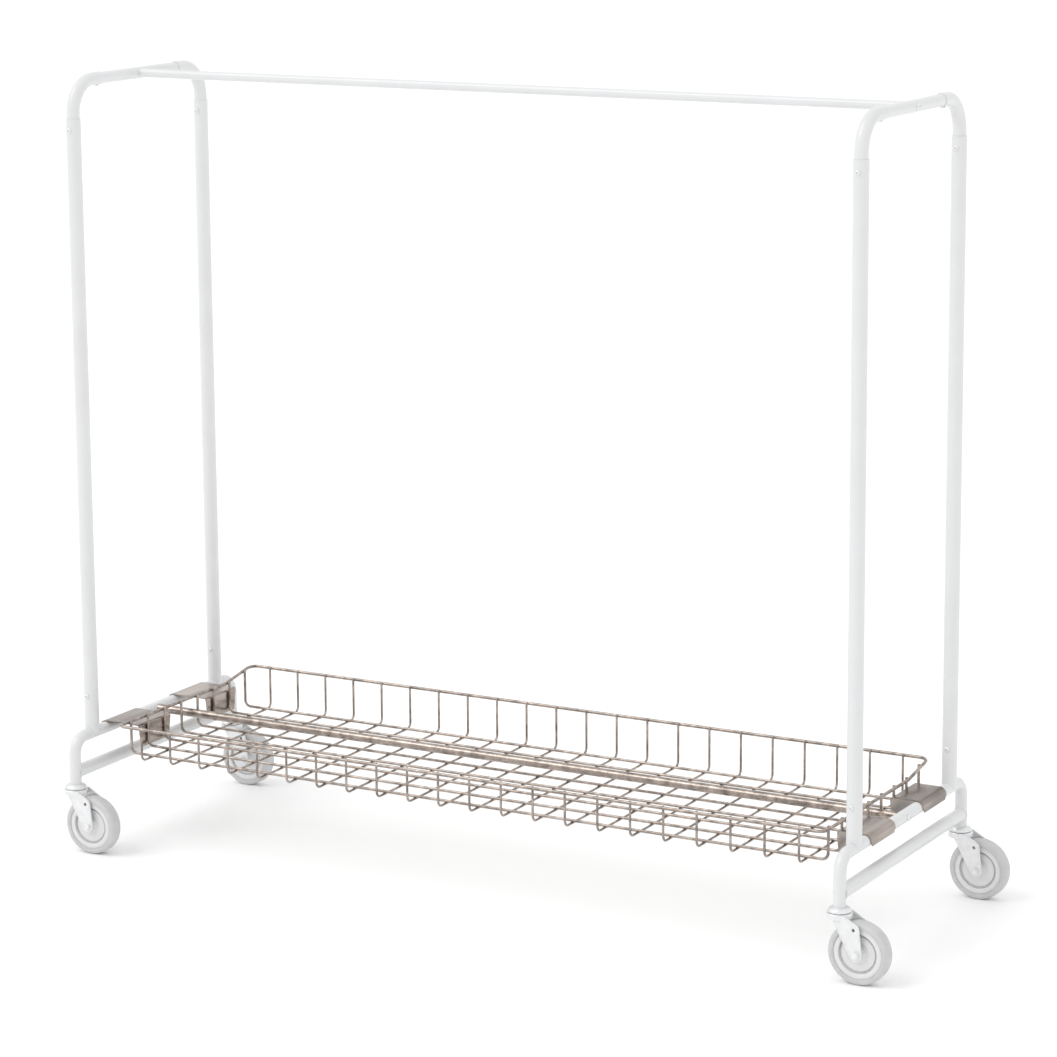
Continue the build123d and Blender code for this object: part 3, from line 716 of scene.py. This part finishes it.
def stems():
    """Caster stems: collar, dished upper race with a rolled edge, king pin and its rivet head."""
    for name in CASTERS:
        leg = LEG[name]
        profile = [(0, 194), (5.0, 194), (7.0, 192), (7.0, 150), (15.5, 150), (15.9, 149.5)]
        profile += arc(15.9, 141.5, 8.0, 84, 6, steps=8)
        profile += [(23.6, 141.0), (22.6, 141.2), (22.2, 142.6), (21.8, 143.0), (19.2, 143.0), (18.4, 143.6)]
        profile += [(17.0, 144.1), (15.6, 143.6)]
        profile += [(14.8, 143.0), (5.0, 143.0), (5.0, 136.9), (8.3, 136.9), (8.5, 136.6), (8.5, 135.4)]
        profile += [(8.0, 134.2), (6.6, 133.5), (4.0, 133.4), (0, 133.4)]
        bm = bmesh.new()
        add_lathe(bm, [(r * MM, z * MM) for r, z in profile], (leg.x, leg.y, 0), (0, 0, 1), sides=72)
        piece(f"stem_{name}", bm, zinc, "frame", [f"caster_stem_{name}"], sharp=30)


wheels()
forks()
axles()
screws()
stems()


# ---------------------------------------------------------------- welds of the end frames
def crossbar_welds():
    """Beads where each lower crossbar meets the two legs."""
    bar_r, leg_r = (LOWER_HIGH.z - LOWER_LOW.z) / 2, (BASE_HIGH.x - BASE_LOW.x) / 2
    z_mid, leg_y = (LOWER_HIGH.z + LOWER_LOW.z) / 2, LEG["right_rear"].y
    bead_r, shortest_back, steps = 1.7 * MM, 3 * MM, 72
    for name, x_mid in (("left", LEFT_X), ("right", RIGHT_X)):
        bm = bmesh.new()
        for way in (-1, 1):
            points = []
            for k in range(steps):
                a = 2 * math.pi * k / steps
                x = bar_r * math.cos(a)
                back = max(shortest_back, math.sqrt(max(0, leg_r ** 2 - x ** 2)))
                points.append(Vector((x_mid + x, way * (leg_y - back), z_mid + bar_r * math.sin(a))))
            add_bead(bm, points, bead_r)
        piece(f"crossbar_welds_{name}", bm, paint, "frame")


crossbar_welds()


# ---------------------------------------------------------------- studio
def studio():
    """Plain pale floor, an even white surround and one large soft key light."""
    reach = 60.0
    bm = bmesh.new()
    bm.faces.new([bm.verts.new((x * reach, y * reach, 0)) for x, y in ((-1, -1), (1, -1), (1, 1), (-1, 1))])
    mesh = bpy.data.meshes.new("floor")
    bm.to_mesh(mesh)
    bm.free()
    floor = bpy.data.objects.new("floor", mesh)
    bpy.context.scene.collection.objects.link(floor)
    white = material("pale_floor", (0.98, 0.98, 0.98), 0.0, 0.9, vary=0.004, vary_scale=0.5)
    mesh.materials.append(white)
    world = bpy.data.worlds.new("studio")
    bpy.context.scene.world = world
    world.use_nodes = True
    back = world.node_tree.nodes["Background"]
    back.inputs["Color"].default_value = (1, 1, 1, 1)
    back.inputs["Strength"].default_value = 1.0
    sun = bpy.data.lights.new("key", "SUN")
    sun.energy, sun.angle = 0.72, math.radians(35)
    key = bpy.data.objects.new("key", sun)
    key.rotation_euler = (math.radians(38), math.radians(-14), math.radians(-30))
    bpy.context.scene.collection.objects.link(key)
    scene = bpy.context.scene
    scene.view_settings.view_transform = "Standard"
    scene.view_settings.look = "None"


def camera():
    """The viewing angle of the object's picture: from the front right, a little above."""
    yaw, pitch, roll = 0.5121, 0.1926, -0.0073
    place = Vector((MIDDLE_X + 3.6747, -6.4369, 2.3454))
    data = bpy.data.cameras.new("camera")
    cam = bpy.data.objects.new("camera", data)
    forward = Vector((-math.sin(yaw) * math.cos(pitch), math.cos(yaw) * math.cos(pitch), -math.sin(pitch)))
    right = Vector((math.cos(yaw), math.sin(yaw), 0))
    up = right.cross(forward)
    turn = Matrix.Rotation(-roll, 3, forward)
    right, up = turn @ right, turn @ up
    cam.matrix_world = Matrix((
        (right.x, up.x, -forward.x, place.x),
        (right.y, up.y, -forward.y, place.y),
        (right.z, up.z, -forward.z, place.z),
        (0, 0, 0, 1),
    ))
    data.sensor_width, data.lens = 36.0, 122.5
    data.shift_y = -0.065
    data.clip_end = 200
    bpy.context.scene.collection.objects.link(cam)
    bpy.context.scene.camera = cam


studio()
camera()
